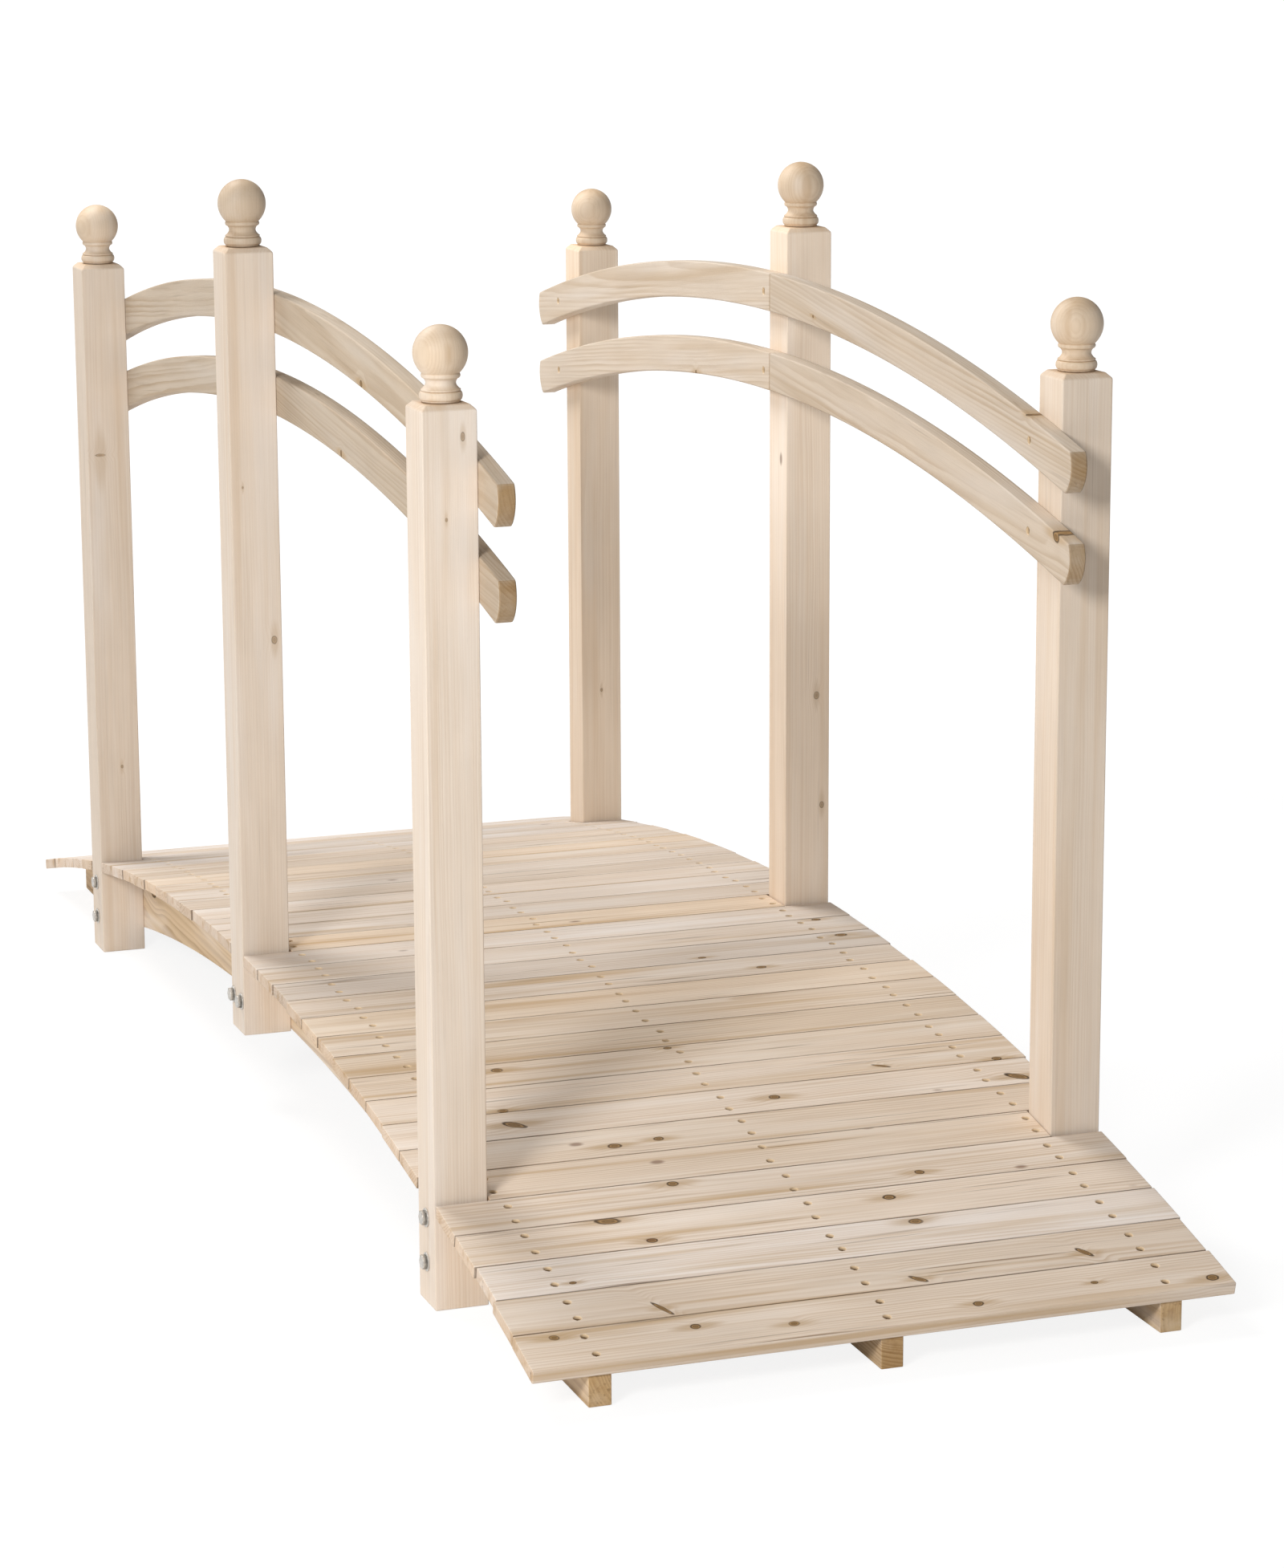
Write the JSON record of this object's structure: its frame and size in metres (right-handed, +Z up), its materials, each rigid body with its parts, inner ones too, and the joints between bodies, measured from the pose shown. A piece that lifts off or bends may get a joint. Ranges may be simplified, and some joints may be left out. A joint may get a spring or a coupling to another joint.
{
  "type": "arched garden bridge",
  "caption": "Arched timber footbridge: cross boards on curved stringers, square posts with ball finials, and curved double rails on both sides.",
  "frame": {"origin": "on the ground at mid span, under the middle of the deck", "axes": "+X along the bridge towards the picture's near end, +Y across it to the picture's right, +Z up"},
  "size_m": [2.3678, 0.786, 1.1504],
  "materials": {
    "deck": "planed fir boards, grain across the bridge, knots, greyish cream to tan",
    "stringer": "sawn fir, grain along the bridge, brown knots",
    "post": "planed fir, upright grain, pale pinkish cream",
    "rail": "planed fir, cathedral grain, tan",
    "finial": "turned fir, warm tan, slight gloss"
  },
  "bodies": {
    "root": {"stringer_left": "stringer", "stringer_middle": "stringer", "stringer_right": "stringer", "boards_near_ramp": "deck", "board_near_posts": "deck", "boards_near_bay": "deck", "board_mid_posts": "deck", "boards_far_bay": "deck", "board_far_posts": "deck", "boards_far_ramp": "deck", "post_near_left": "post", "post_mid_left": "post", "post_far_left": "post", "finials_left": "finial", "rail_upper_near_left": "rail", "rail_upper_far_left": "rail", "rail_lower_near_left": "rail", "rail_lower_far_left": "rail", "post_near_right": "post", "post_mid_right": "post", "post_far_right": "post", "finials_right": "finial", "rail_upper_near_right": "rail", "rail_upper_far_right": "rail", "rail_lower_near_right": "rail", "rail_lower_far_right": "rail"}
  },
  "joints": []
}
